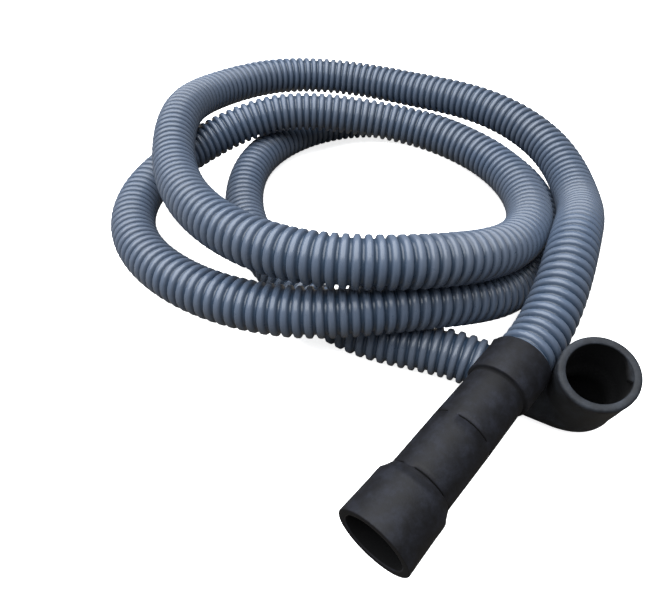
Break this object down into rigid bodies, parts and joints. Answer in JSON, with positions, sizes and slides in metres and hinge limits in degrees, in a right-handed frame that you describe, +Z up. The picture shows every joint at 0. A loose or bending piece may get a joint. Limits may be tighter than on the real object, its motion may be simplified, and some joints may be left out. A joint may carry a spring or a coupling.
{
  "type": "dishwasher drain hose",
  "caption": "Corrugated drain hose lying in loose loops, with a straight stepped rubber cuff on one end and a bent rubber cuff on the other.",
  "frame": {"origin": "on the surface that the hose lies on, under the middle of the box round the two cuffs", "axes": "-Y is where the straight cuff's mouth points, seen from above, +Y runs back along that cuff to its hose end, +Z is up, and the loops of hose lie towards -X"},
  "size_m": [0.3137, 0.2845, 0.073],
  "materials": {
    "corrugated_plastic": "semi-matte blue-grey corrugated plastic with dark grooves",
    "cuff_rubber": "matte dark charcoal moulded rubber",
    "elbow_rubber": "matte dark blue-grey moulded rubber"
  },
  "bodies": {
    "root": {"hose": "corrugated_plastic", "straight_cuff": "cuff_rubber", "elbow_cuff": "elbow_rubber"}
  },
  "joints": []
}
